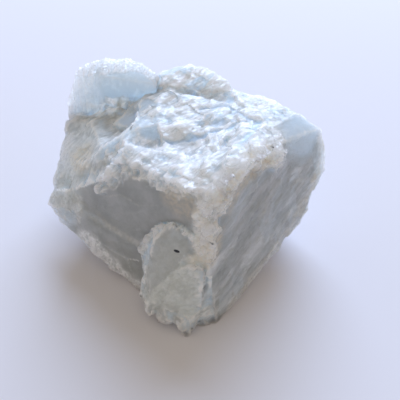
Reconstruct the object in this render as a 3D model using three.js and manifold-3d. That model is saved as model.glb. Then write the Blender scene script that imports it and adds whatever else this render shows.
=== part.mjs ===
// A hand-sized lump of massive blue calcite, broken from a vein: two broad cleavage faces that meet
// in a front ridge, a hackly dished top, a blocky crystal at the back left and a stepped block low on
// the front. It is one solid. Millimetres, +Z up, resting on a flat break at z = 0, with the origin
// under the middle of its bounding box.
import * as THREE from "three";
import { ConvexGeometry } from "three/addons/geometries/ConvexGeometry.js";
import { mergeVertices } from "three/addons/utils/BufferGeometryUtils.js";
import Module from "manifold-3d";

const wasm = await Module();
wasm.setup();

// Driving dimensions. Corners and centres below are in the lump's working frame, whose z = 0 is the
// resting face; the whole is moved over its own middle at the end.
const C_AXIS = { bearing: -85, rise: 40 }; // degrees: where the crystal's c axis points
const CLEAVAGE_TILT = 44.6; // degrees from the c axis to the normal of each cleavage plane
const FRONT_REACH = 20; // from the working origin to the front left cleavage face
const FRONT_STEP = 1.1; // how far the upper part of that face stands back
const STEP_LEVEL = 17.2; // where that upper part starts, along the normal of the top cleavage
const RIGHT_REACH = 23; // to the right cleavage face
const BACK_LEFT_REACH = 36.5; // to the cleavage face at the back left, parallel to the right one
const BACK_RIGHT_REACH = 24; // to the one at the back right, parallel to the front one
const CUTTER = 200; // side of the block that takes away all beyond a plane
const BALL_DETAIL = 5; // subdivisions of the balls that scoop hollows
const CHIP_CORNERS = 8; // of each chip lost from an edge
const CHIP_LEAST = 0.45; // smallest chip, as a share of the usual size
const CHIP_SPAN = 0.9; // from the smallest share to the largest

const radians = THREE.MathUtils.degToRad;

// Unit vector from a bearing, counted from +X towards +Y, and a rise above level.
function direction(bearing, rise) {
  return new THREE.Vector3(
    Math.cos(radians(bearing)) * Math.cos(radians(rise)),
    Math.sin(radians(bearing)) * Math.cos(radians(rise)),
    Math.sin(radians(rise)),
  );
}

// Calcite's three cleavage normals stand 120 degrees apart round its c axis.
const cAxis = direction(C_AXIS.bearing, C_AXIS.rise);
const upSlope = direction(C_AXIS.bearing, C_AXIS.rise + 90);
function cleavageNormal(turn) {
  const away = upSlope.clone().applyAxisAngle(cAxis, radians(turn));
  const along = cAxis.clone().multiplyScalar(Math.cos(radians(CLEAVAGE_TILT)));
  return along.addScaledVector(away, Math.sin(radians(CLEAVAGE_TILT)));
}
const TOP = cleavageNormal(0);
const RIGHT = cleavageNormal(-120);
const FRONT = cleavageNormal(120);

// The edges of a cleavage rhomb lie where two cleavage planes cross.
const ALONG_FRONT = new THREE.Vector3().crossVectors(TOP, FRONT).normalize();
const ALONG_RIGHT = new THREE.Vector3().crossVectors(RIGHT, TOP).normalize();
const UPWARD = new THREE.Vector3().crossVectors(FRONT, RIGHT).normalize();

// A closed mesh as a solid that can be joined and cut.
function solid(geometry) {
  const bare = geometry.clone();
  bare.deleteAttribute("normal");
  bare.deleteAttribute("uv");
  const merged = mergeVertices(bare, 1e-4);
  const mesh = new wasm.Mesh({
    numProp: 3,
    vertProperties: new Float32Array(merged.getAttribute("position").array),
    triVerts: new Uint32Array(merged.index.array),
  });
  return new wasm.Manifold(mesh);
}

// The block with these corners.
function lump(corners) {
  return solid(new ConvexGeometry(corners.map((c) => new THREE.Vector3(...c))));
}

// Everything further than reach along a normal.
function beyond(normal, reach) {
  const block = new THREE.BoxGeometry(CUTTER, CUTTER, CUTTER);
  block.translate(0, 0, CUTTER / 2 + reach);
  block.applyQuaternion(new THREE.Quaternion().setFromUnitVectors(new THREE.Vector3(0, 0, 1), normal));
  return solid(block);
}

// A cleavage rhomb round a centre, with its lengths along the three crystal edges.
function rhomb(centre, lengths) {
  const block = new THREE.BoxGeometry(...lengths);
  block.applyMatrix4(new THREE.Matrix4().makeBasis(ALONG_FRONT, UPWARD, ALONG_RIGHT));
  block.translate(...centre);
  return solid(block);
}

// A ball that scoops a shallow shell-shaped hollow, dipping depth below a point of the surface; the
// ball's centre lies from that point in the direction of bearing and rise.
function scoop({ point, radius, depth, bearing, rise }) {
  const ball = new THREE.IcosahedronGeometry(radius, BALL_DETAIL);
  const out = direction(bearing, rise).multiplyScalar(radius - depth);
  ball.translate(point[0] + out.x, point[1] + out.y, point[2] + out.z);
  return solid(ball);
}

// A repeatable number from 0 to 1 for each whole number.
function chance(n) {
  const s = Math.sin(n * 127.1 + 311.7) * 43758.5453;
  return s - Math.floor(s);
}

// An irregular chip round a centre: the block held by eight corners thrown about it.
function chip(centre, size, seed) {
  const corners = [];
  for (let i = 0; i < CHIP_CORNERS; i++) {
    const throwOut = [1, 2, 3].map((k) => (chance(seed + 17 * i + 5 * k) - 0.5) * 2 * size);
    corners.push(centre.map((c, k) => c + throwOut[k]));
  }
  return lump(corners);
}

// Chips spread along a broken line of points, no two the same size.
function chips(line, count, size, seed) {
  const path = new THREE.CurvePath();
  const points = line.map((p) => new THREE.Vector3(...p));
  for (let i = 1; i < points.length; i++) path.add(new THREE.LineCurve3(points[i - 1], points[i]));
  const found = [];
  for (let i = 0; i < count; i++) {
    const n = seed * 1000 + i * 61;
    const at = path.getPointAt((i + 0.1 + 0.8 * chance(n)) / count);
    found.push(chip(at.toArray(), size * (CHIP_LEAST + CHIP_SPAN * chance(n + 1)), n + 2));
  }
  return wasm.Manifold.union(found);
}

// Corners of the main mass.
const MASS = [
  [5, -18, 40], // front of the top, where the three cleavages meet
  [12, -9.5, 45], // highest point of the ridge
  [14.5, -7, 45],
  [22, -1, 41],
  [27.3, 12.4, 41],
  [35.6, 13.3, 36], // right corner, below the slanting facet
  [38.5, 11.5, 27],
  [38, 10, 22],
  [33.5, 3.5, 14],
  [28, -3, 9.5],
  [15, -18, 2.5],
  [8, -25, 0],
  [0, -27.5, 0],
  [-14, -15, 0],
  [-22, -8.5, 6],
  [-38, 2, 10], // left end of the front face
  [-40.5, 7, 15],
  [-37, 14, 23],
  [-36, 24, 30],
  [-23.5, -2, 27],
  [-14, -5.5, 37.5],
  [-15, 3, 39],
  [-9, 22, 41],
  [0, 27, 42],
  [8, 25, 42],
  [14, 20, 41.5],
  [19.6, 15.5, 41],
  [28.3, 14.6, 40.5],
  [-31, 33, 20], // foot of the back
  [-18, 38, 8],
  [6, 38, 6],
  [24, 28, 8],
  [35, 17, 14],
  [-26, 14, 0], // the resting face
  [-12, 27, 0],
  [12, 24, 0],
  [24, 6, 0],
  [14, -14, 0],
];
const BACK_CRYSTAL = [
  [-33.8, 29, 39], // its top, left to right
  [-32.5, 30.3, 43],
  [-29.7, 31.8, 44.4],
  [-25.5, 33.3, 45],
  [-21, 33, 45.6],
  [-16.8, 32.2, 46],
  [-12.3, 29, 46],
  [-9.1, 25.5, 45],
  [-8.2, 25, 44.4],
  [-25, 27.7, 43], // top edge of its front face
  [-16.5, 28, 44.8],
  [-8.8, 22.8, 43.6],
  [-35.5, 29, 33], // foot of its front face
  [-36, 27.6, 29],
  [-27, 26, 31],
  [-19, 24, 32.5],
  [-10.5, 23, 35],
  [-32, 37, 16], // its back, down to the foot of the mass
  [-14, 39.5, 8],
  [-29, 33, 8],
  [-12, 30, 8],
  [-30, 26, 20],
];
const BACK_HUMP = [
  [-8, 29, 43.4],
  [-9.4, 27, 43.2],
  [-9, 24, 42.4],
  [-4, 31, 44.3],
  [0.3, 30, 45],
  [5, 29, 45],
  [9.2, 25, 44],
  [11.8, 21.3, 42.6],
  [13.5, 19.5, 41.4],
  [-7, 25, 43],
  [4, 24.5, 43.6],
  [-6, 27, 34],
  [10, 20, 36],
  [-2, 33, 34],
  [9, 27, 34],
];
const FRONT_BLOCK = [
  [-11, -12, 18],
  [-9.6, -16, 21.5],
  [-7, -13, 25.5],
  [-6, -15, 27.5],
  [-2.8, -16, 29],
  [0.5, -17.6, 27.6],
  [3.5, -19.4, 26],
  [4.7, -21, 23],
  [3.9, -21.8, 19],
  [-5, -22, 9],
  [-12, -18, 8],
  [-12.8, -18.7, 6],
  [-12.2, -21.5, 4],
  [-10.2, -24.6, 3],
  [-12, -14, 0],
  [0, -18, 8],
];
const FRONT_TOE = [
  [4.2, -24.2, 14],
  [3.4, -26, 6],
  [2.5, -27, 0.6],
  [-6.5, -21.7, 12.4],
  [-2, -21.4, 19],
  [2, -21.9, 22],
  [4.3, -23.1, 20],
  [2.6, -24.9, 13.5],
  [-0.4, -25.9, 6.8],
  [-2.8, -26.4, 3],
  [-5.9, -27, 2],
  [-8.1, -26.4, 1.6],
  [-9.5, -23, 2.5],
  [-5, -20, 0],
  [2, -20, 6],
];
const TOE_CRYSTAL = [
  [-3.6, -26.2, 5.6],
  [-2.9, -28.4, 1.2],
  [-1.4, -29.2, 0],
  [0.6, -29.2, 0],
  [2.4, -28, 2.2],
  [2.4, -26.8, 6.4],
  [-1, -27.2, 7],
  [-3, -23, 0],
  [3, -22.6, 4],
];
const LEFT_KNOB = [
  [-38.8, 6.3, 20],
  [-40.6, 7, 17],
  [-40.8, 5.4, 14],
  [-38.8, 3.2, 12],
  [-34.4, 0.6, 11.4],
  [-29.5, -1.2, 15.6],
  [-30, 0.8, 19.5],
  [-34, 4, 22.6],
  [-30, 8, 12],
];
const SLOPE_LEDGE = [
  [-21.8, 18.8, 33.4],
  [-15.7, 20.2, 36.6],
  [-10.6, 19.9, 38.6],
  [-10, 17.4, 37.6],
  [-17.7, 14.8, 34.6],
  [-20, 20, 30],
  [-9, 20, 34],
  [-16, 15, 31],
];
const TOP_SHARDS = [
  [
    [-6.6, 21.3, 41.2],
    [3, 20, 42.1],
    [12.6, 15, 42],
    [9.5, 10.8, 40.9],
    [0.4, 7, 39.9],
    [-6.1, 10, 39.9],
    [2, 15, 36],
  ],
  [
    [13.1, 15, 41.8],
    [19.1, 12, 42.3],
    [25, 9.5, 41.7],
    [20.5, 2.4, 42.5],
    [21, -2, 41.4],
    [14.4, -5.6, 45],
    [11.6, 1.2, 43],
    [18, 5, 36],
  ],
  [
    [-19.4, -1.6, 36],
    [-16, 2.4, 39.4],
    [-9.5, -0.6, 39.7],
    [-5.6, -3.6, 39.6],
    [-0.7, -2, 39.9],
    [4.2, -16.6, 40.2],
    [-3, -11.6, 38.4],
    [-9, -8, 38],
    [-14, -5.2, 38],
    [-6, -4, 34],
  ],
];
const TOP_SLOT = [
  [6.6, -3.4, 46],
  [10.2, 4.4, 46],
  [12, 3.4, 46],
  [9.6, -3.8, 46],
  [8.6, -1, 37.6],
  [10.2, 1.4, 38],
];

// Shell-shaped breaks: three that dish the top, two in the slope on its left.
const TOP_SCOOPS = [
  { point: [2, 8, 41.5], radius: 40, depth: 1.9, bearing: 100, rise: 84 },
  { point: [-3, 3, 40], radius: 18, depth: 1.4, bearing: -60, rise: 80 },
  { point: [-11, 4, 39.5], radius: 8, depth: 2.2, bearing: -120, rise: 70 },
  { point: [-28, 12, 31], radius: 20, depth: 1.6, bearing: 190, rise: 50 },
  { point: [-22, 20, 35], radius: 12, depth: 2.2, bearing: 240, rise: 60 },
];
// Rhombs lost from the back and the right, and two more shell-shaped breaks there.
const BACK_STEPS = [
  { centre: [24, 26, 38], lengths: [14, 30, 12] },
  { centre: [-8, 44, 24], lengths: [16, 22, 14] },
  { centre: [-40, 30, 12], lengths: [10, 12, 16] },
  { centre: [34, 20, 10], lengths: [12, 16, 14] },
];
const BACK_SCOOPS = [
  { point: [8, 33, 24], radius: 26, depth: 3, bearing: 66, rise: 5 },
  { point: [-30, 22, 12], radius: 20, depth: 3, bearing: 165, rise: -15 },
];

// Broken lines along which chips are lost: how many, how wide, and where.
const CHIPPED_EDGES = [
  [9, 1.1, [[-23, -1.6, 27], [-14, -5.6, 37.6], [-3, -12.6, 37.4], [5, -17.8, 40]]],
  [8, 1.1, [[5, -18, 39.6], [9, -13, 43], [13, -8.6, 45.2], [22, -1, 41.2]]],
  [9, 1.8, [[-38, 2.4, 11], [-40.6, 7, 15.4], [-37, 14, 23], [-36, 24, 30]]],
  [8, 1.4, [[35.6, 13.3, 35], [38.4, 11.2, 27], [33.4, 3.5, 14.2], [22, -9, 8]]],
  [8, 1.0, [[-2, 31, 43.4], [6, 28, 43.4], [16, 20, 40], [28, 14.6, 40]]],
  [9, 2.6, [[-12, 37, 34], [-12, 39, 8]]],
  [9, 2.6, [[-36, 16, 16], [-26, 20, 6], [-14, 32, 5], [12, 32, 5], [28, 20, 6], [32, 4, 10]]],
];

const upperFront = beyond(FRONT, FRONT_REACH - FRONT_STEP).intersect(beyond(TOP, STEP_LEVEL));
let specimen = lump(MASS)
  .subtract(beyond(FRONT, FRONT_REACH))
  .subtract(upperFront)
  .subtract(beyond(RIGHT, RIGHT_REACH))
  .subtract(beyond(FRONT.clone().negate(), BACK_RIGHT_REACH))
  .subtract(beyond(RIGHT.clone().negate(), BACK_LEFT_REACH));

for (const hollow of TOP_SCOOPS) specimen = specimen.subtract(scoop(hollow));
for (const corners of [BACK_CRYSTAL, BACK_HUMP, SLOPE_LEDGE, LEFT_KNOB, ...TOP_SHARDS])
  specimen = specimen.add(lump(corners));
specimen = specimen.subtract(lump(TOP_SLOT));
for (const corners of [FRONT_BLOCK, FRONT_TOE, TOE_CRYSTAL]) specimen = specimen.add(lump(corners));

for (const { centre, lengths } of BACK_STEPS) specimen = specimen.subtract(rhomb(centre, lengths));
for (const hollow of BACK_SCOOPS) specimen = specimen.subtract(scoop(hollow));
CHIPPED_EDGES.forEach(([count, size, line], i) => {
  specimen = specimen.subtract(chips(line, count, size, i + 1));
});

// Only the largest body stays: a cut can leave a loose crumb.
const bodies = specimen.decompose().sort((a, b) => b.volume() - a.volume());
const out = bodies[0].getMesh();

const geometry = new THREE.BufferGeometry();
geometry.setAttribute("position", new THREE.BufferAttribute(out.vertProperties, 3));
geometry.setIndex(new THREE.BufferAttribute(out.triVerts, 1));
geometry.computeBoundingBox();
const middle = geometry.boundingBox.getCenter(new THREE.Vector3());
geometry.translate(-middle.x, -middle.y, 0);
geometry.computeVertexNormals();

const calcite = new THREE.MeshStandardMaterial({ color: 0xd3dce4, roughness: 0.35, metalness: 0 });
const stone = new THREE.Mesh(geometry, calcite);
stone.name = "calcite_specimen";

const group = new THREE.Group();
group.add(stone);
export default group;
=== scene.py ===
import bpy
import numpy as np
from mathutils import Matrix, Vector


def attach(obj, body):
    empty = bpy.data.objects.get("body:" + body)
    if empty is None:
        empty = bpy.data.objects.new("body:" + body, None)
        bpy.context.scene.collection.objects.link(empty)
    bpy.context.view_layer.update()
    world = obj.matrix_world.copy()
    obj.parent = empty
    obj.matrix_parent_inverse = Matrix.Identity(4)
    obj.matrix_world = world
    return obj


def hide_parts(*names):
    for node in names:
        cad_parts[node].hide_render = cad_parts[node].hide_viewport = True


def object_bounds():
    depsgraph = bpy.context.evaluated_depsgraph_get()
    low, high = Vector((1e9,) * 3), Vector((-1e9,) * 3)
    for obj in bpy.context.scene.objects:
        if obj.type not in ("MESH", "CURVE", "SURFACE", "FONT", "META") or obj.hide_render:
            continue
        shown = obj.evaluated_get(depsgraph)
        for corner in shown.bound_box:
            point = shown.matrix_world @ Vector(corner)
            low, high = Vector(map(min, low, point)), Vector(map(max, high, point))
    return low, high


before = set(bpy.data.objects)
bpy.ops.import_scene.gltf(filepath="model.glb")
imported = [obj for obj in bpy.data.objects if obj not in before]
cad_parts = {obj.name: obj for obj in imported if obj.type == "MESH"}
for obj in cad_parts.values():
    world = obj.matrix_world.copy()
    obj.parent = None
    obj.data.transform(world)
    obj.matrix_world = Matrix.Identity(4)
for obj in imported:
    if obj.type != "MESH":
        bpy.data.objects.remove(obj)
lowBox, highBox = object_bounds()
cadBox = [list(lowBox), list(highBox)]
print("frame loaded, box", cadBox)

mm = 0.001
drawingMiddle = np.array([-1.544, 5.15, 0.0])  # middle of the stone in its drawing frame, in mm

stone = {
    "voxel": 0.44,  # mm, fineness of the carved surface
    "cAxis": (-85.0, 40.0),  # bearing and rise of the crystal axis, degrees
    "cleavageTilt": 44.6,  # degrees between that axis and each cleavage normal
    "rhombSizes": (3.4, 1.53),  # mm, usual sizes of the broken rhombs
    "rhombHold": 2.2,  # how sharply one step follows another
    "rhombDepth": 0.35,  # how far a hackly surface snaps to those rhombs, 0 to 1
    "shardSizes": (5.2, 2.4, 1.2),  # mm, shell-shaped chips on hackly surfaces
    "shardDepth": 0.65,
    "flowWay": (0.86, 0.50, 0.05),  # the way the chips on the top are drawn out
    "crumbSizes": (1.7, 1.0),  # mm, crumbs on the worn ridges
    "crumbDepth": 1.4,
    "splinterWay": (0.62, 0.62, 0.48),  # the way the splinters of the ridge point
    "lipRadius": 4.2,  # mm, worn band beside the crest
    "lipOut": 1.9,  # mm, how proud it stands
    "crackDepth": 0.9,  # mm, curved cracks in the top
    "slotDepth": 0.2,  # mm
    "lamellaWay": (0.68, 0.78, 0.50),  # the way the splinters of the right face slant
    "lamellaSizes": (2.1, 4.0),  # mm, the slanting splinters and those that cross them
    "lamellaDepth": 0.5,
    "fluteSide": (0.965, -0.25, 0.08),  # across the flutes of the back crystal
    "fluteOut": (0, 1, 0.35),  # and out of its top edge
    "fluteWidths": (1.3, 0.85),  # mm, broad flutes and the fine ones along the top
    "fluteDepth": 0.7,
    "terraceSizes": (9, 4, 9),  # mm, cleavage terraces along the front, upward and right edges
    "terraceDepth": 0.22,  # mm
    "swell": 0.12,  # mm, on the broad faces
    "ledgeLevel": 17.2,  # mm along the top cleavage normal, where the front face steps
    "shake": 0.9,  # mm, raggedness where one kind of surface meets another
    "sharpAngle": 30.0,  # degrees
}

# Lines of points on the stone, in its drawing frame, in mm.
lines = {
    "ridge": [
        (22, -1, 40.6), (17.4, -4.6, 42.6), (14, -7.2, 44.9), (10.4, -11.2, 42.8), (7.4, -14.8, 40),
        (4.8, -17.6, 38), (3.2, -18.4, 34), (2.6, -19.2, 30), (2.4, -20.4, 26),
    ],
    # The band on the shaded side of the ridge, painted brown as shade.
    "shadedBand": [
        (18.1, -4.8, 39.6), (14.5, -8.1, 39.7), (12, -10.8, 38), (9.9, -13.4, 35.9), (8.2, -15.7, 33.1),
        (6.8, -17.9, 29.9), (5.9, -19.6, 26.5), (4.7, -21, 22.4),
    ],
    "frontRim": [
        (-23, -1.6, 27.5), (-19, -2.2, 33), (-14, -5, 37.4), (-9, -8.4, 37.6), (-3, -12.4, 37.6),
        (4, -17, 40),
    ],
    "bounceLitStrip": [
        (-29.4, -2.9, 9.2), (-26.7, -4.9, 8.2), (-23.9, -7.4, 5.6), (-20.1, -10.3, 3.9), (-16.7, -13, 1.9),
        (-13.7, -15, 1.2),
    ],
    "blockCrest": [
        (3.5, -19.5, 25.9), (2, -19.8, 24), (0.5, -20.1, 22.1), (-2, -20.4, 19.3), (-4.6, -20.8, 16.2),
        (-7.2, -21.4, 12.8), (-10, -21.7, 9.2),
    ],
    "flake": [(2.4, -19.8, 25.6), (0.8, -19.8, 23.7), (-0.7, -19.9, 21.7)],
    "step": [
        (-24.8, -2.4, 18.9), (-22, -5.1, 17.2), (-19.1, -7.4, 16.9), (-16.2, -9.4, 16.7), (-13, -12.2, 16.4),
    ],
    "blockRim": [
        (-12, -13.1, 16), (-10, -12.8, 20.2), (-7.6, -13.3, 24.4), (-4.9, -14.2, 27.2), (-2, -15.6, 28.4),
        (0.6, -17.8, 27.6), (3.2, -19.4, 26),
    ],
    "blockEdge": [
        (-12.5, -18.6, 7.3), (-10.7, -21.8, 6.5), (-8.8, -24, 5.4), (-6.2, -26.4, 3.4), (-2.8, -28, 2.5),
    ],
    "rightRim": [
        (36.4, 12.2, 32.5), (37.2, 10.3, 27), (35.2, 7.2, 20), (30.9, 1.7, 15), (26.7, -3.7, 11),
        (22.4, -8.6, 8), (18, -13.2, 6), (14.7, -17.2, 3.4), (11.7, -20.7, 1.9),
    ],
    "crack": [
        (-6, 3.2, 39.2), (3, 4.4, 39.6), (7.4, 6, 40.6), (12, 6.8, 41.6), (15.2, 7.3, 43), (17.7, 6.7, 43.1),
    ],
    "upperCrack": [(3, 14.5, 41.2), (6.7, 14.9, 41.6), (10.7, 15, 41.9), (14.1, 10, 42.6), (17.2, 7.3, 43)],
    "upperBar": [(-19.5, 17.2, 34.6), (-15.5, 17.4, 36.8), (-11.6, 18.2, 39.6)],
    "lowerBar": [(-17, 14, 35.2), (-12.8, 10.8, 39), (-9.4, 7.1, 39.3)],
    "barCrest": [(-21.8, 18.8, 33.6), (-15.7, 20.2, 36.8), (-10.6, 19.9, 38.8)],
    "slot": [(17.7, 6.7, 43.1), (15.3, 1.6, 43.9), (12.5, -3.9, 44.4), (11.4, -7.5, 44.6)],
}

# Spots on the stone: centre and half-lengths, in mm.
spots = {
    "rightCorner": ((29.5, 7, 37.5), (10.5, 10, 9)),
    "block": ((-2, -20.5, 15), (14.5, 9, 21)),
    "toe": ((1, -24, 12), (8, 6, 13)),
    "knob": ((-35.5, 4, 17.5), (10.5, 9, 10)),
    "leftSlope": ((-30, 12, 28), (14, 16, 12)),
    "dullPatch": ((-27, 3.5, 27.5), (7.5, 5, 4.5)),
    "ridgeStain": ((14, -7.4, 43.8), (3.4, 3, 2.2)),
    "notchStain": ((-1.5, -14, 35), (8, 7.5, 6.5)),
    "slopeStain": ((-29.5, 10, 28), (7, 7, 5)),
    "ledgeStain": ((-19, 24, 36), (5, 3.5, 3)),
    "crystalStain": ((-29, 26.5, 33.6), (3, 2, 1.6)),
    "blueHollow": ((-15, 20, 37), (9, 6, 5)),
    "oliveEnd": ((-34, 8, 22), (10, 12, 12)),
}

# Borders that change with x: places along x and the height there, in mm.
borders = {
    "crystalStrip": ([-33, -26.5, -21.3, -16.2, -12, -9.5], [41.4, 43, 44, 44.9, 44.6, 43.8]),
    "crystalFront": ([-34, -29, -26.5, -24, -12], [30, 31.5, 34, 37.4, 39]),
    "lowBlock": ([-10, -7.2, -4.6, -2, 0.5, 2, 3.5], [9.2, 12.8, 16.2, 19.3, 22.1, 24, 25.9]),
}


# Scatter: each whole-number cell and seed is stirred into three repeatable numbers from 0 to 1.
def scatter(cells, seed):
    low32 = np.uint64(0xFFFFFFFF)
    x, y, z = (cells[..., k].astype(np.int64).astype(np.uint64) & low32 for k in range(3))
    h = (x * np.uint64(73856093)) ^ (y * np.uint64(19349663)) ^ (z * np.uint64(83492791))
    h = h ^ np.uint64(seed * 7919 + 17)
    out = []
    for k in range(3):
        h = (h & low32) ^ ((h & low32) >> np.uint64(15))
        h = (h * np.uint64(2246822519)) & low32
        h = h ^ (h >> np.uint64(13))
        h = (h * np.uint64(3266489917)) & low32
        h = h ^ (h >> np.uint64(16))
        out.append(h / 4294967296.0)
    return np.stack(out, -1)


# Cells: every point takes the nearest of the seeds scattered one to a cube; gives that seed's three
# random numbers.
def nearestCell(points, size, seed):
    scaled = points / size
    base = np.floor(scaled)
    nearest = np.full(len(points), 9.0)
    luck = np.zeros((len(points), 3))
    for i in (-1, 0, 1):
        for j in (-1, 0, 1):
            for k in (-1, 0, 1):
                cell = base + (i, j, k)
                offset = scaled - (cell + scatter(cell, seed))
                distance = np.sqrt((offset**2).sum(1))
                closer = distance < nearest
                nearest = np.where(closer, distance, nearest)
                luck[closer] = scatter(cell, seed + 101)[closer]
    return luck


# Soft noise: random values at cube corners, blended by eased weights; from -1 to 1.
def softNoise(points, size, seed):
    scaled = points / size
    base = np.floor(scaled)
    f = scaled - base
    f = f * f * (3 - 2 * f)
    total = np.zeros(len(points))
    for i in (0, 1):
        for j in (0, 1):
            for k in (0, 1):
                weight = np.abs(1 - i - f[:, 0]) * np.abs(1 - j - f[:, 1]) * np.abs(1 - k - f[:, 2])
                total += weight * scatter(base + (i, j, k), seed)[:, 0]
    return total * 2 - 1


# Layered noise: soft noise at halving sizes and halving strengths, summed.
def layeredNoise(points, size, layers, seed):
    total = np.zeros(len(points))
    for n in range(layers):
        total += softNoise(points, size / 2**n, seed + n * 13) / 2**n
    return total


# Three-way noise: soft noise for each of three seeds, as the three parts of a vector.
def noiseVector(points, size, seeds):
    return np.stack([softNoise(points, size, s) for s in seeds], 1)


# Ease: 0 below a, 1 above b, smooth between.
def ease(a, b, x):
    t = np.clip((x - a) / (b - a), 0, 1)
    return t * t * (3 - 2 * t)


# Near a line: 1 on a broken line of points, falling to 0 at the radius.
def nearLine(points, line, radius):
    nearest = np.full(len(points), 1e9)
    for a, b in zip(np.array(line[:-1], float), np.array(line[1:], float)):
        along = b - a
        t = np.clip(((points - a) @ along) / (along @ along), 0, 1)
        nearest = np.minimum(nearest, ((points - a - t[:, None] * along) ** 2).sum(1))
    return 1 - ease(0.35, 1, np.sqrt(nearest) / radius)


# Near a spot: 1 at a centre, falling to 0 on an ellipsoid with these half-lengths.
def nearSpot(points, spot):
    centre, halves = spot
    return 1 - ease(0.45, 1, np.sqrt((((points - centre) / halves) ** 2).sum(1)))


# Strongest: each mask times its strength, and the greatest of them at every point.
def strongest(*pairs):
    return np.maximum.reduce([strength * mask for strength, mask in pairs])


# Direction: the unit vector with this bearing and rise, in degrees.
def direction(bearing, rise):
    b, r = np.radians([bearing, rise])
    return np.array([np.cos(b) * np.cos(r), np.sin(b) * np.cos(r), np.sin(r)])


cAxis = direction(*stone["cAxis"])
upSlope = direction(stone["cAxis"][0], stone["cAxis"][1] + 90)


# Cleavage normal: the crystal axis tilted towards a direction turned round it.
def cleavageNormal(turn):
    t = np.radians(turn)
    away = upSlope * np.cos(t) + np.cross(cAxis, upSlope) * np.sin(t)
    tilt = np.radians(stone["cleavageTilt"])
    return cAxis * np.cos(tilt) + away * np.sin(tilt)


# Unit: the same direction with length one.
def unit(v):
    v = np.asarray(v, float)
    return v / np.linalg.norm(v)


topNormal, rightNormal, frontNormal = (cleavageNormal(t) for t in (0, -120, 120))
crystalRows = np.stack([topNormal, rightNormal, frontNormal])
upwardEdge = unit(np.cross(rightNormal, frontNormal))
frontEdge = unit(np.cross(topNormal, frontNormal))
rightEdge = unit(np.cross(rightNormal, topNormal))
lamella = np.array(stone["lamellaWay"])
lamella = unit(lamella - rightNormal * (lamella @ rightNormal))
lamellaAcross = np.cross(rightNormal, lamella)
flow = unit(stone["flowWay"])
flowAcross = unit(np.cross(topNormal, flow))
flowUp = np.cross(flow, flowAcross)
fluteSide = unit(stone["fluteSide"])
fluteUp = unit(np.cross(fluteSide, stone["fluteOut"]))

print("stone: base mesh")
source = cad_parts["calcite_specimen"]
piece = bpy.data.objects.new("calciteStone", source.data.copy())
bpy.context.scene.collection.objects.link(piece)
bpy.context.view_layer.objects.active = piece

weld = piece.modifiers.new("weld", "WELD")
weld.merge_threshold = 1e-5
fine = piece.modifiers.new("fine", "REMESH")
fine.mode = "VOXEL"
fine.voxel_size = stone["voxel"] * mm
graph = bpy.context.evaluated_depsgraph_get()
carved = bpy.data.meshes.new_from_object(piece.evaluated_get(graph))
piece.modifiers.clear()
piece.data = carved
carved.name = "calciteStone"

flat = np.empty(len(carved.vertices) * 3)
carved.vertices.foreach_get("co", flat)
points = flat.reshape(-1, 3) / mm + drawingMiddle
corners = np.empty(len(carved.loops), np.int64)
carved.loops.foreach_get("vertex_index", corners)
faces = corners.reshape(len(carved.polygons), 4)
print("stone: vertices", len(points), "faces", len(faces))


# Normals: each face's diagonals crossed, summed at its corners, made unit length.
def normalsOf(p):
    out = np.cross(p[faces[:, 2]] - p[faces[:, 0]], p[faces[:, 3]] - p[faces[:, 1]])
    total = np.zeros_like(p)
    for k in range(4):
        for axis in range(3):
            total[:, axis] += np.bincount(faces[:, k], out[:, axis], len(p))
    return total / (np.linalg.norm(total, axis=1)[:, None] + 1e-12)


edges = np.concatenate([np.stack([faces[:, k], faces[:, (k + 1) % 4]], 1) for k in range(4)])
linked = np.bincount(edges[:, 0], minlength=len(points)) + np.bincount(edges[:, 1], minlength=len(points))
linked = np.maximum(linked, 1)


# Smoothed values: each vertex takes the mean of its neighbours, so many times over.
def spread(values, times):
    v = values.reshape(len(values), -1).astype(float)
    for _ in range(times):
        total = np.zeros_like(v)
        for axis in range(v.shape[1]):
            total[:, axis] = np.bincount(edges[:, 0], v[edges[:, 1], axis], len(v))
            total[:, axis] += np.bincount(edges[:, 1], v[edges[:, 0], axis], len(v))
        v = total / linked[:, None]
    return v.reshape(values.shape)


# Smoothed normals: the mean of the neighbours' normals, made unit length again.
def smoothNormals(p, times):
    out = spread(normalsOf(p), times)
    return out / np.linalg.norm(out, axis=1)[:, None]


print("stone: regions")
# Narrow crevices are filled: their points move to the mean of their neighbours.
crevice = ease(0.15, 0.5, ((spread(points, 6) - points) * normalsOf(points)).sum(1))
points = points + (spread(points, 10) - points) * crevice[:, None]
# The step across the front is worn to a slope.
ledge = np.abs(points @ topNormal - stone["ledgeLevel"])
worn = (1 - ease(1.5, 3.5, ledge)) * ease(16.5, 17.5, points @ frontNormal)
worn = worn * (1 - ease(20.5, 21.5, points @ rightNormal))
points = points + (spread(points, 45) - points) * worn[:, None]
normals = smoothNormals(points, 3)
x, y, z = points.T
# Edges between kinds of surface are ragged: places are measured from slightly shaken points.
shake = noiseVector(points, 2.6, (101, 102, 103)) + 0.6 * noiseVector(points, 1.1, (104, 105, 106))
ruffled = points + stone["shake"] * shake
frontLevel = points @ frontNormal
rightLevel = points @ rightNormal
facingCamera = ease(0.2, 0.5, -normals[:, 1])

# The broad cleavage faces.
rightCorner = nearSpot(ruffled, spots["rightCorner"])
knob = nearSpot(ruffled, spots["knob"])
onFront = ease(0.94, 0.985, normals @ frontNormal) * ease(16.5, 18, frontLevel) * (1 - 0.8 * knob)
onRight = ease(0.93, 0.98, normals @ rightNormal) * ease(21.5, 22.4, rightLevel)
ribbed = onRight * (1 - 0.85 * rightCorner)
onBackLeft = ease(0.95, 0.985, -(normals @ rightNormal))
onBackRight = ease(0.95, 0.985, -(normals @ frontNormal))
onBottom = 1 - ease(0.3, 0.8, z)
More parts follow.
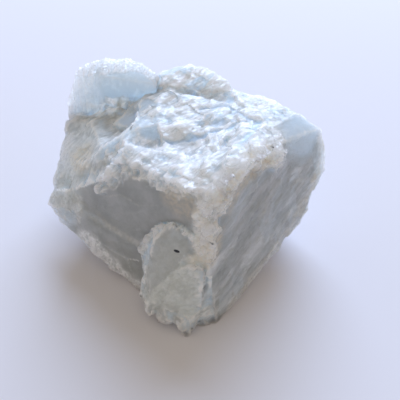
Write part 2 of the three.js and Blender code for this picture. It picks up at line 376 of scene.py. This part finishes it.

# The back crystal: a frosted strip along its top, a clear front, and a left end painted paler, partly frost
# and partly painted light from the left.
crystalBack = ease(21, 23, y + 0.1 * (z - 38) + 0.5 * shake[:, 1])
onCrystal = ease(29, 31, z) * (1 - ease(-9.4, -8.2, x)) * crystalBack
stripFloor = 0.4 * shake[:, 0] + np.interp(x, *borders["crystalStrip"])
crystalStrip = onCrystal * ease(-0.5, 0.2, z - stripFloor) * ease(-0.3, 0.1, normals[:, 2])
frontFloor = 0.8 * shake[:, 0] + np.interp(x, *borders["crystalFront"])
crystalFront = onCrystal * facingCamera * (1 - crystalStrip) * ease(-0.8, 0.8, z - frontFloor)
crystalLeft = crystalFront * (1 - ease(-27.5, -24, x))

# The block low on the front, and its paler lower part.
onBlock = nearSpot(ruffled, spots["block"]) * facingCamera * (1 - ease(21.4, 22.4, rightLevel))
blockFloor = 0.5 * shake[:, 0] + np.interp(x, *borders["lowBlock"])
lowBlock = onBlock * ease(-0.6, 0.4, blockFloor - z)
blockRim = nearLine(ruffled, lines["blockRim"], 1.7)
blockCrest = np.maximum(nearLine(points, lines["blockCrest"], 1.1), nearLine(points, lines["flake"], 0.9))
blockEdge = nearLine(ruffled, lines["blockEdge"], 2.2)

# Ridges, rims, cracks and bars.
ridge = nearLine(ruffled, lines["ridge"], 3.4)
rim = nearLine(ruffled, lines["frontRim"], 3.0)
# The low strip along the front, painted lighter later as light bounced up from the floor.
bounceLitStrip = nearLine(ruffled, lines["bounceLitStrip"], 4.6)
rightRim = nearLine(ruffled, lines["rightRim"], 3.2)
# The step line across the front, painted lighter as a highlight along its upper edge.
stepHighlight = nearLine(points, lines["step"], 1.2)
cracks = np.maximum(nearLine(points, lines["crack"], 1.1), nearLine(points, lines["upperCrack"], 0.9))
slot = nearLine(points, lines["slot"], 1.6)
# The left slope, painted lighter later, partly frost and partly painted light from the left.
leftSlope = nearSpot(ruffled, spots["leftSlope"]) * ease(-0.2, 0.2, normals[:, 2]) * (1 - onFront)
leftSlope = leftSlope * (1 - 0.7 * nearSpot(ruffled, spots["dullPatch"]))
upperBar = nearLine(ruffled, lines["upperBar"], 2.8)
lowerBar = nearLine(ruffled, lines["lowerBar"], 3.0)
barCrest = nearLine(points, lines["barCrest"], 1.3)

smooth = strongest(
    (1, onFront),
    (0.9, onRight),
    (1, crystalFront),
    (0.85, crystalStrip),
    (0.95, onBlock),
    (0.75, rightCorner),
    (0.8, onBackLeft),
    (0.8, onBackRight),
    (0.7, leftSlope),
    (0.45, knob),
    (0.6, upperBar),
    (0.5, lowerBar),
    (1, onBottom),
)
broken = strongest((1, ridge), (0.8, rim), (0.9, blockRim * (1 - onFront))) * (1 - onBottom)
hackly = np.maximum(np.clip(1 - smooth, 0, 1), broken)

print("stone: carving")


# Broken rhombs: along each cleavage normal a point slides to irregular levels, so that a slanting
# surface becomes a flight of small steps; each cell of the stone has levels of its own. Also given:
# a random number that each rhomb keeps to itself.
def brokenRhombs(p, size, hold, seed):
    levels = p @ crystalRows.T + nearestCell(p, size * 3.2, seed) * size
    rng = np.random.default_rng(seed)
    stepped = np.empty_like(levels)
    which = np.empty_like(levels)
    for axis in range(3):
        marks = np.cumsum(rng.uniform(0.35, 1.65, 240) * size) - 120 * size
        i = np.clip(np.searchsorted(marks, levels[:, axis]) - 1, 0, len(marks) - 2)
        which[:, axis] = i
        width = marks[i + 1] - marks[i]
        f = (levels[:, axis] - marks[i]) / width
        stepped[:, axis] = marks[i] + width * np.clip((f - 0.5) * hold + 0.5, 0, 1)
    return (stepped - levels) @ np.linalg.inv(crystalRows).T, scatter(which, seed)[:, 0]


# Facets: each seed carries a tilted, slightly dished plane, and the lowest of the nearby planes is
# kept, so shallow shell-shaped chips meet in sharp ridges without any gap. Also given: a random
# number that each chip keeps to itself, and how near a point is to the ridge between two chips.
def facets(p, size, tilt, dish, seed):
    scaled = p / size
    base = np.floor(scaled)
    lowest = np.full(len(p), 1e9)
    second = np.full(len(p), 1e9)
    own = np.zeros(len(p))
    for i in (-1, 0, 1):
        for j in (-1, 0, 1):
            for k in (-1, 0, 1):
                cell = base + (i, j, k)
                offset = scaled - (cell + scatter(cell, seed))
                luck = scatter(cell, seed + 101)
                lean = tilt * ((offset * (luck * 2 - 1)).sum(1) + 0.25 * luck[:, 0])
                plane = lean + dish * (offset**2).sum(1)
                own = np.where(plane < lowest, luck[:, 2], own)
                second = np.where(plane < lowest, lowest, np.minimum(second, plane))
                lowest = np.minimum(lowest, plane)
    return size * (lowest - lowest.mean()), own, 1 - ease(0, 0.5 * dish, second - lowest)


# Strips: a length is cut at random places and each strip leans its own way, like a fluted face.
def strips(u, width, lean, seed):
    rng = np.random.default_rng(seed)
    marks = np.cumsum(rng.uniform(0.3, 1.9, 400) * width) - 200 * width
    leans = rng.uniform(-lean, lean, 400)
    levels = rng.uniform(-0.15, 0.15, 400) * width
    i = np.clip(np.searchsorted(marks, u) - 1, 0, 398)
    return (u - (marks[i] + marks[i + 1]) / 2) * leans[i] + levels[i]


# Stretched: the same points with lengths along one direction shrunk, so a pattern there is drawn out.
def stretched(p, along, times):
    return p - np.outer(p @ along, along) * (1 - 1 / times)


# Hackly surfaces: small steps on the three cleavages, then shell-shaped chips.
warp = noiseVector(points, 11, (1, 2, 3))
snap = hackly * stone["rhombDepth"] * (1 - 0.5 * ridge)
bigSize, smallSize = stone["rhombSizes"]
bigStep, bigRhomb = brokenRhombs(points + warp, bigSize, stone["rhombHold"], seed=5)
smallStep, smallRhomb = brokenRhombs(points + warp, smallSize, stone["rhombHold"], seed=6)
points = points + (bigStep + 0.7 * smallStep) * snap[:, None]

bigSize, midSize, smallSize = stone["shardSizes"]
drawn = stretched(points + warp * 2.5, flow, times=2.4)
bigLift, bigOwn, bigEdge = facets(drawn, bigSize, tilt=0.30, dish=0.22, seed=11)
midLift, midOwn, midEdge = facets(drawn + warp, midSize, tilt=0.38, dish=0.26, seed=23)
smallLift, _, _ = facets(points, smallSize, tilt=0.28, dish=0.24, seed=29)
lift = bigLift + midLift + 0.5 * smallLift
points = points + normals * (lift * hackly * stone["shardDepth"])[:, None]

# The worn ridges crumble into splinters.
normals = smoothNormals(points, 2)
bigSize, smallSize = stone["crumbSizes"]
splinters = stretched(points, unit(stone["splinterWay"]), times=1.8)
crumbBig, crumbOwn, _ = facets(splinters, bigSize, tilt=1.0, dish=0.35, seed=31)
crumbSmall, _, _ = facets(splinters, smallSize, tilt=1.0, dish=0.4, seed=37)
points += normals * ((crumbBig + 0.7 * crumbSmall) * stone["crumbDepth"] * broken)[:, None]

# The worn band beside the crest stands a little proud, so that it too faces the light.
lipLine = np.array(lines["ridge"]) + 1.5 * rightNormal - (0, 0, 2.8)
lipPatches = 0.45 + 0.55 * ease(-0.4, 0.3, softNoise(points, 3.0, seed=91))
lip = nearLine(points + 1.1 * shake + 1.6 * warp, lipLine, stone["lipRadius"]) * lipPatches
points += (rightNormal + 0.5 * topNormal) * (stone["lipOut"] * lip * (0.6 + 0.8 * crumbOwn))[:, None]

# Curved cracks and a narrow slot run across the top.
cut = stone["crackDepth"] * cracks * (0.5 + 0.5 * midOwn) + stone["slotDepth"] * slot
points -= normals * cut[:, None]

# The right face: long twin lamellae and splinters that run aslant, crossed by a few others.
bend = warp * 2.5 + noiseVector(points, 5, (7, 8, 9)) * 0.8
slant = stretched(points + bend, lamella, times=3.0)
crossed = stretched(points + bend, upwardEdge, times=2.4)
slantSize, crossSize = stone["lamellaSizes"]
slantLift, _, _ = facets(slant, slantSize, tilt=0.42, dish=0.2, seed=41)
crossLift, crossOwn, _ = facets(crossed, crossSize, tilt=0.35, dish=0.16, seed=43)
patchy = ease(-0.5, 0.5, softNoise(points, 8, seed=45))
ribs = slantLift * (0.3 + 0.7 * patchy) + 0.7 * crossLift * (1 - 0.5 * patchy)
ribs = ribs + 0.3 * softNoise(points, 6, seed=48)
points += normals * (ribbed * stone["lamellaDepth"] * ribs)[:, None]
points += normals * (rightRim * 0.2 * (crumbBig + midLift))[:, None]

# The crystal: upright flutes that run over its top edge.
fluteWay = points @ fluteSide + 0.25 * softNoise(points, 6, seed=52)
broadWidth, fineWidth = stone["fluteWidths"]
flutes = strips(fluteWay, broadWidth, lean=0.5, seed=53) * (0.25 + crystalStrip + 0.6 * crystalLeft)
flutes = flutes + 0.8 * strips(fluteWay, fineWidth, lean=0.7, seed=54) * crystalStrip
points += normals * (onCrystal * stone["fluteDepth"] * flutes)[:, None]

# The broad faces: low cleavage terraces with straight sides, and a slight swell.
terraceWays = np.stack([points @ frontEdge, points @ upwardEdge, points @ rightEdge], 1)
terraceLuck = nearestCell(terraceWays / stone["terraceSizes"], 1.0, seed=61)
terrace = (terraceLuck[:, 0] - 0.5) * stone["terraceDepth"]
broad = strongest((1, onFront), (1, onBackLeft), (1, onBackRight), (0.7, onBlock))
points += normals * (broad * (terrace + stone["swell"] * softNoise(points, 12, seed=67)))[:, None]
points += normals * (0.5 * midLift * np.maximum(lowBlock, blockEdge * (1 - onFront)))[:, None]

# Folds are healed: where the carving turned a surface over, points move to their neighbours' mean.
calm = normalsOf(spread(points, 6))
folded = 1 - ease(-0.1, 0.3, (normalsOf(points) * calm).sum(1))
folded = np.clip(spread(folded, 3) * 4, 0, 1)
points += (spread(points, 10) - points) * folded[:, None]
points[:, 2] = np.maximum(points[:, 2], 0)
print("stone: folds healed", int((folded > 0.5).sum()))
print("stone: carved box", points.min(0), points.max(0))

print("stone: masks")
normals = normalsOf(points)
bulge = ((points - spread(points, 4)) * normals).sum(1)
wideBulge = ((points - spread(points, 14)) * normals).sum(1)
calmer = (1 - 0.6 * ribbed) * (1 - 0.8 * worn) * (1 - 0.6 * crystalFront)
# Raised edges, the ridge and the lip are lightened: partly worn white edges, partly painted highlight.
wearAndHighlight = (ease(0.02, 0.14, bulge) * 0.7 + ease(0.08, 0.5, wideBulge) * 0.5) * calmer
wearAndHighlight = np.maximum(wearAndHighlight, 0.9 * np.maximum(ridge, lip))
# Hollows: concave places, later darkened with painted shade.
hollowShade = ease(0.03, 0.2, -bulge) * 0.6 + ease(0.15, 0.8, -wideBulge) * 0.6
hollowShade = hollowShade * (1 - 0.7 * np.maximum(broken, lip))

# Patterns that break the masks up.
mottle = layeredNoise(points, 6, layers=3, seed=71) * 0.5 + 0.5
ragged = ease(-0.3, 0.5, softNoise(points, 1.6, seed=75) + 0.5 * softNoise(points, 0.8, seed=76))
dashes = ease(-0.1, 0.35, softNoise(points, 2.6, seed=77) + 0.4 * softNoise(points, 0.9, seed=78))
blotch = ease(-0.1, 0.6, softNoise(slant, 3.2, seed=81) + 0.5 * softNoise(slant, 1.4, seed=82))
grainy = ease(0.0, 0.5, softNoise(stretched(points, fluteUp, times=7), 0.9, seed=93))
white = ease(0.28, 0.55, 0.3 * bigOwn + 0.25 * midOwn + 0.25 * bigRhomb + 0.2 * smallRhomb)
facetEdge = strongest((0.8, bigEdge), (0.6, midEdge)) * ragged

toe = nearSpot(points, spots["toe"]) * ease(-0.1, 0.3, -normals[:, 1]) * (1 - ribbed)
paleBlock = np.maximum(lowBlock, toe)
clearPlaces = strongest((1, slot), (0.8, cracks), (1, upperBar), (0.8, lowerBar), (0.6, leftSlope))
# Frost and painted light: crushed white on hackly surfaces, and some places painted lighter as painted light
# or painted highlight.
frostAndLight = hackly * np.clip(0.3 + 0.7 * white + 0.5 * facetEdge, 0, 1) * (0.75 + 0.5 * mottle)
frostAndLight = strongest(
    (1, frostAndLight * (1 - 0.8 * clearPlaces)),
    (1, broken * (0.8 + 0.2 * crumbOwn)),
    (1, ridge),
    (1, lip),
    (0.9, crystalStrip),
    (0.9, barCrest),
    # The crystal's left end: partly frost, partly painted light from the left.
    (0.85, crystalLeft),
    (0.5, crystalFront * grainy),
    # The left slope: partly frost, partly painted light from the left.
    (0.72, leftSlope),
    # Dashes along the block's crest: painted highlight where its step catches the light.
    (0.95, blockCrest * dashes),
    (0.7, blockEdge * ragged),
    (0.4, blockEdge),
    # The low strip is painted lighter: painted light bounced up from the floor.
    (0.9, bounceLitStrip * ragged),
    (0.85, bounceLitStrip),
    # The step line: painted highlight along its upper edge.
    (0.25, stepHighlight * ragged * ease(-22, -17, x)),
    (0.2, knob),
    (0.4, ribbed * blotch),
    (0.75, nearLine(ruffled, lines["shadedBand"], 7) * blotch),
    (0.3, rightRim),
    (0.86, paleBlock),
    (0.28, onBlock),
)
# Brown: ochre stains in spots, and painted shade along the band on the ridge's shaded side.
brown = strongest(
    (0.8, nearLine(points, lines["shadedBand"], 4.6) * ease(0.2, 0.7, mottle)),
    (0.6, ridge * ease(0.35, 0.7, mottle)),
    (0.85, lip * ease(0.25, 0.6, mottle)),
    (0.9, nearSpot(ruffled, spots["ridgeStain"])),
    (0.6, nearSpot(ruffled, spots["notchStain"])),
    (0.6, nearSpot(points, spots["slopeStain"])),
    (0.25, nearSpot(ruffled, spots["ledgeStain"])),
    (0.3, nearSpot(points, spots["crystalStain"])),
    (0.35, rightRim),
    (0.15, stepHighlight),
)
blue = strongest(
    (1, crystalFront * (0.75 + 0.5 * ease(-27, -20, x))),
    (0.8, rightCorner),
    (0.9, hackly * (1 - white) * (1 - broken)),
    (1, upperBar),
    (1, lowerBar),
    (1, slot),
    (0.25, ribbed * ease(0.55, 0.85, crossOwn)),
    (0.25, leftSlope),
    (0.35, crystalStrip),
    (0.7, nearSpot(ruffled, spots["blueHollow"])),
)
masks = {
    "frostAndLight": frostAndLight,
    "wearAndHighlight": wearAndHighlight,
    "hollowShade": hollowShade,
    "brown": brown,
    "blue": blue,
    "olive": np.maximum(0.5 * onBlock + 0.6 * paleBlock, 0.5 * nearSpot(points, spots["oliveEnd"])),
    "slanted": ribbed,
    "fluted": onCrystal,
    "block": onBlock,
    # The cracks and the slot take painted shade; along the slot it is a painted shadow line.
    "crack": strongest((0.8, cracks), (1, slot)),
    "deep": strongest(
        (1, ridge), (1, lip), (1, onCrystal), (1, leftSlope), (0.1, knob), (1, blockRim), (0.6, bounceLitStrip)
    ),
}

carved.vertices.foreach_set("co", ((points - drawingMiddle) * mm).astype(np.float32).ravel())
for name, values in masks.items():
    layer = carved.attributes.new(name, "FLOAT", "POINT")
    layer.data.foreach_set("value", np.clip(values, 0, 1).astype(np.float32))
carved.update()
carved.shade_smooth()
carved.set_sharp_from_angle(angle=np.radians(stone["sharpAngle"]))

print("stone: finish")
finish = {
    "glass": (0.37, 0.385, 0.375),  # clear cleavage faces
    "frostyAndLit": (0.955, 0.98, 0.985),  # crushed white surfaces, and places painted lighter as painted light
    "veil": (0.74, 0.75, 0.76),  # healed cracks inside the clear faces
    "veilAmount": 0.25,
    "streakAmount": 0.38,  # the same, in streaks along the lamellae
    "blueGlass": (0.72, 0.85, 0.96),
    "blueAmount": 0.75,
    "oliveGlass": (0.64, 0.67, 0.62),
    "oliveAmount": 0.55,
    "paintedShade": (0.70, 0.84, 0.98),  # painted shade, laid in hollows and along the cracks and the slot
    "hollowShadeAmount": 0.45,
    "crackShadeAmount": 0.5,
    "bruiseAndHighlight": (0.995, 0.98, 0.94),  # broken edges, and painted highlight on raised edges
    "wearAndHighlightAmount": 0.7,
    "brown": (0.80, 0.69, 0.52),  # ochre stain, and painted shade along the shaded side of the ridge
    "brownAmounts": (0.25, 0.9),
    "grain": (0.01, 0.01, 0.012),  # the small dark grain
    "grainPlace": (-2.75, -18.8, 22.4),  # mm, drawing frame
    "grainHalves": (0.85, 0.42),  # mm, across and up the block
    "blockAcross": (0.94, -0.34, 0),
    "blockUp": (0.11, 0.26, 0.96),
    "cloudScale": 160.0,
    "fineScale": 900.0,
    "streakScales": (60.0, 420.0, 60.0),  # along, across and out of the lamellae
    "flowScales": (110.0, 640.0, 420.0),  # along, across and up from the drawn-out chips
    "splinterStretch": 3.6,
    "fluteStretch": 5.0,
    "bigFacet": 0.8,  # mm
    "smallFacet": 0.36,
    "sparkles": (0.1, 0.75),  # height of the tilted facets on clear and on frosty places
    "fineHeight": 0.00012,  # m
    "roughness": (0.14, 0.17),  # clear and frosty
    "roughnessStir": (-0.07, 0.12),
    "translucence": 1.0,
    "clearReach": 0.012,  # m, how far light wanders inside clear calcite
    "frostReach": 0.003,  # and inside crushed calcite
    "deepReach": 0.018,  # and where a thin edge is lit from behind
    "reachColour": (0.95, 1.0, 1.0),
    "index": 1.6,
}


# Short names for adding and joining shader nodes.
class Nodes:
    def __init__(self, tree):
        self.tree = tree

    # Joins a value to a socket, or sets it there.
    def give(self, socket, value):
        if isinstance(value, bpy.types.NodeSocket):
            self.tree.links.new(value, socket)
        else:
            socket.default_value = value

    # A new node with these settings and these inputs.
    def add(self, kind, inputs=None, **settings):
        node = self.tree.nodes.new(kind)
        for key, value in settings.items():
            setattr(node, key, value)
        for key, value in (inputs or {}).items():
            self.give(node.inputs[key], value)
        return node

    # The value of a vertex attribute.
    def mask(self, name):
        return self.add("ShaderNodeAttribute", attribute_name=name).outputs["Fac"]

    # From one colour to another by an amount.
    def blend(self, amount, a, b):
        a, b = ((*c, 1) if isinstance(c, tuple) else c for c in (a, b))
        return self.add("ShaderNodeMix", {0: amount, 6: a, 7: b}, data_type="RGBA").outputs[2]

    # From one place to another by an amount.
    def blendPlaces(self, amount, a, b):
        return self.add("ShaderNodeMix", {0: amount, 4: a, 5: b}, data_type="VECTOR").outputs[1]

    # Two values put through one step of arithmetic.
    def maths(self, operation, a, b, clamp=False):
        return self.add("ShaderNodeMath", {0: a, 1: b}, operation=operation, use_clamp=clamp).outputs[0]

    # A range of values moved to another range.
    def span(self, value, low, high, outLow=0.0, outHigh=1.0):
        return self.add("ShaderNodeMapRange", {0: value, 1: low, 2: high, 3: outLow, 4: outHigh}).outputs[0]

    # Two vectors put through one operation, giving a vector or a value.
    def vector(self, operation, a, b, result="Vector"):
        return self.add("ShaderNodeVectorMath", {0: a, 1: b}, operation=operation).outputs[result]

    # Cloudy noise from 0 to 1 at these places; a greater scale gives smaller clouds.
    def noise(self, place, scale, detail, **more):
        inputs = {"Vector": place, "Scale": scale, "Detail": detail, **more}
        return self.add("ShaderNodeTexNoise", inputs).outputs["Fac"]


# Calcite: clear glass and white frost blended by the masks, stained, with painted shade in hollows and
# cracks and painted light and highlight in some places, and scattering light inside.
def calciteFinish():
    material = bpy.data.materials.new("calcite")
    material.use_nodes = True
    tree = material.node_tree
    tree.nodes.clear()
    n = Nodes(tree)
    place = n.add("ShaderNodeTexCoord").outputs["Object"]
    frostAndLightMask = n.mask("frostAndLight")
    cloud = n.noise(place, finish["cloudScale"], 5.0, Roughness=0.6)
    fineCloud = n.noise(place, finish["fineScale"], 4.0, Roughness=0.65)

    # Along: how far a place lies along a direction, times a number.
    def along(way, times):
        return n.maths("MULTIPLY", n.vector("DOT_PRODUCT", place, tuple(way), "Value"), times)

    # Places measured along three directions, each with its own scale.
    def turned(ways, scales):
        parts = {k: along(way, scale) for k, (way, scale) in enumerate(zip(ways, scales))}
        return n.add("ShaderNodeCombineXYZ", parts).outputs[0]

    # Splinters: the same places with lengths along one way shrunk, so that cells there come out long.
    def drawnOut(way, times):
        inputs = {0: tuple(way), "Scale": along(way, 1 - 1 / times)}
        back = n.add("ShaderNodeVectorMath", inputs, operation="SCALE")
        return n.vector("SUBTRACT", place, back.outputs[0])

    slanted = turned((lamella, lamellaAcross, rightNormal), finish["streakScales"])
    streaks = n.noise(slanted, 1.0, 4.0, Distortion=0.6)
    streakMask = n.maths("MULTIPLY", n.span(streaks, 0.5, 0.68), n.mask("slanted"))
    onTop = drawnOut(flow, finish["splinterStretch"])
    onRightFace = drawnOut(lamella, finish["splinterStretch"])
    splinterPlace = n.blendPlaces(n.mask("slanted"), onTop, onRightFace)
    splinterPlace = n.blendPlaces(n.mask("fluted"), splinterPlace, drawnOut(fluteUp, finish["fluteStretch"]))

    # Tilted cells: within each small cell the height is a plane that leans its own way.
    def leaning(cells):
        offset = n.vector("SUBTRACT", splinterPlace, cells.outputs["Position"])
        lean = n.vector("SUBTRACT", cells.outputs["Color"], (0.5, 0.5, 0.5))
        return n.vector("DOT_PRODUCT", offset, lean, "Value")

    bigCells, smallCells = (
        n.add("ShaderNodeTexVoronoi", {"Vector": splinterPlace, "Scale": 1 / mm / finish[size]})
        for size in ("bigFacet", "smallFacet")
    )
    cellTone = n.add("ShaderNodeSeparateColor", {0: bigCells.outputs["Color"]}).outputs[1]

    # Frost and painted light: its mask, thinned by fine cloud, drawn-out streaks and the tone of each small
    # facet.
    drawn = turned((flow, flowAcross, flowUp), finish["flowScales"])
    flowStreaks = n.noise(drawn, 1.0, 5.0, Distortion=0.8)
    frostyAndLit = n.maths("MULTIPLY", frostAndLightMask, n.span(fineCloud, 0.3, 0.65, 0.75, 1.15))
    frostyAndLit = n.maths("MULTIPLY", frostyAndLit, n.span(flowStreaks, 0.38, 0.58, 0.55, 1.2))
    frostyAndLit = n.maths("MULTIPLY", frostyAndLit, n.span(cellTone, 0.0, 1.0, 0.88, 1.1), clamp=True)

    # The grain: inside an ellipse on the face of the block, with a ragged edge.
    centre = (np.array(finish["grainPlace"]) - drawingMiddle) * mm
    squares = []
    for way, half in zip((finish["blockAcross"], finish["blockUp"]), finish["grainHalves"]):
        way = unit(way)
        off = n.maths("ADD", along(way, 1 / mm / half), -(centre @ way) / mm / half)
        squares.append(n.maths("POWER", off, 2.0))
    off = n.maths("ADD", n.maths("ADD", *squares), fineCloud)
    grain = n.maths("MULTIPLY", n.span(off, 1.6, 1.3), n.mask("block"))

    stain = n.span(fineCloud, 0.35, 0.65, *finish["brownAmounts"])
    # Frost whitens, and in some places the same colour is painted light.
    colour = n.blend(frostyAndLit, finish["glass"], finish["frostyAndLit"])
    for mask, amount, name in (
        (n.span(cloud, 0.42, 0.62), finish["veilAmount"], "veil"),
        (streakMask, finish["streakAmount"], "veil"),
        (n.mask("blue"), finish["blueAmount"], "blueGlass"),
        (n.mask("olive"), finish["oliveAmount"], "oliveGlass"),
        # Painted shade in hollows, and along the cracks and the slot.
        (n.mask("hollowShade"), finish["hollowShadeAmount"], "paintedShade"),
        (n.mask("crack"), finish["crackShadeAmount"], "paintedShade"),
        # Worn white edges, and painted highlight on raised edges.
        (n.mask("wearAndHighlight"), finish["wearAndHighlightAmount"], "bruiseAndHighlight"),
        # Ochre stain, and painted shade along the ridge's shaded side.
        (n.mask("brown"), stain, "brown"),
        (grain, 1.0, "grain"),
    ):
        colour = n.blend(n.maths("MULTIPLY", mask, amount), colour, finish[name])

    stir = n.span(fineCloud, 0.3, 0.7, *finish["roughnessStir"])
    rough = n.maths("ADD", n.span(frostyAndLit, 0.0, 1.0, *finish["roughness"]), stir)
    reach = n.span(frostyAndLit, 0.0, 1.0, finish["clearReach"], finish["frostReach"])
    reach = n.maths("MAXIMUM", reach, n.maths("MULTIPLY", n.mask("deep"), finish["deepReach"]))
    glitter = n.maths("MAXIMUM", frostAndLightMask, n.maths("MULTIPLY", n.mask("slanted"), 0.8))
    sparkle = n.maths("ADD", leaning(bigCells), leaning(smallCells))
    sparkle = n.maths("MULTIPLY", sparkle, n.span(glitter, 0.0, 1.0, *finish["sparkles"]))
    height = n.maths("ADD", sparkle, n.maths("MULTIPLY", fineCloud, finish["fineHeight"]))
    bump = n.add("ShaderNodeBump", {"Strength": 1.0, "Distance": 1.0, "Height": height}).outputs["Normal"]
    shader = n.add(
        "ShaderNodeBsdfPrincipled",
        {
            "Base Color": colour,
            "Roughness": rough,
            "Normal": bump,
            "IOR": finish["index"],
            "Subsurface Weight": finish["translucence"],
            "Subsurface Radius": finish["reachColour"],
            "Subsurface Scale": reach,
        },
    )
    n.add("ShaderNodeOutputMaterial", {"Surface": shader.outputs[0]})
    return material


carved.materials.clear()
carved.materials.append(calciteFinish())
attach(piece, "root")
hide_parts("calcite_specimen")

print("floor, light and camera")
studio = {
    "floorSize": 3.0,
    "floorDrop": 0.0002,  # m below the resting face
    "floorColour": (0.79, 0.77, 0.81),
    "floorRoughness": 0.9,
    "floorShine": 0.1,
    "worldColour": (1.0, 0.91, 0.80),
    "worldStrength": 0.46,
    "windowPlace": (0.16, 0.9, 0.76),
    "windowTarget": (0, 0, 0.02),
    "windowSize": 0.95,
    "windowPower": 19.1,
    "windowColour": (0.56, 0.71, 1.0),
    "target": (4.544, -6.15, -0.5),  # mm from the middle of the stone's box
    "elevation": 45.0,
    "distance": 150.0,
    "lens": 50.0,
    "nearest": 0.005,  # m, where the camera starts to see
}

floorMesh = bpy.data.meshes.new("floor")
half = studio["floorSize"] / 2
floorCorners = [(-half, -half, 0), (half, -half, 0), (half, half, 0), (-half, half, 0)]
floorMesh.from_pydata(floorCorners, [], [(0, 1, 2, 3)])
floor = bpy.data.objects.new("floor", floorMesh)
bpy.context.scene.collection.objects.link(floor)
floor.location.z = -studio["floorDrop"]
floorFinish = bpy.data.materials.new("paleFloor")
floorFinish.use_nodes = True
paint = floorFinish.node_tree.nodes["Principled BSDF"]
paint.inputs["Base Color"].default_value = (*studio["floorColour"], 1)
paint.inputs["Roughness"].default_value = studio["floorRoughness"]
paint.inputs["Specular IOR Level"].default_value = studio["floorShine"]
floorMesh.materials.append(floorFinish)

world = bpy.data.worlds.new("room")
bpy.context.scene.world = world
world.use_nodes = True
sky = world.node_tree.nodes["Background"]
sky.inputs["Color"].default_value = (*studio["worldColour"], 1)
sky.inputs["Strength"].default_value = studio["worldStrength"]


# Aim: the angles that point an object's -Z from one place to another.
def aim(place, towards):
    return (Vector(towards) - Vector(place)).to_track_quat("-Z", "Y").to_euler()


windowLight = bpy.data.lights.new("window", "AREA")
windowLight.shape = "DISK"
windowLight.size = studio["windowSize"]
windowLight.energy = studio["windowPower"]
windowLight.color = studio["windowColour"]
window = bpy.data.objects.new("window", windowLight)
window.location = studio["windowPlace"]
window.rotation_euler = aim(studio["windowPlace"], studio["windowTarget"])
bpy.context.scene.collection.objects.link(window)

middle = (np.array(cadBox[0]) + np.array(cadBox[1])) / 2
target = middle + np.array(studio["target"]) * mm
rise = np.radians(studio["elevation"])
eye = target + studio["distance"] * mm * np.array([0, -np.cos(rise), np.sin(rise)])
cameraData = bpy.data.cameras.new("camera")
cameraData.lens = studio["lens"]
cameraData.clip_start = studio["nearest"]
camera = bpy.data.objects.new("camera", cameraData)
camera.location = eye
camera.rotation_euler = aim(eye, target)
bpy.context.scene.collection.objects.link(camera)
bpy.context.scene.camera = camera
bpy.context.scene.view_settings.view_transform = "Standard"
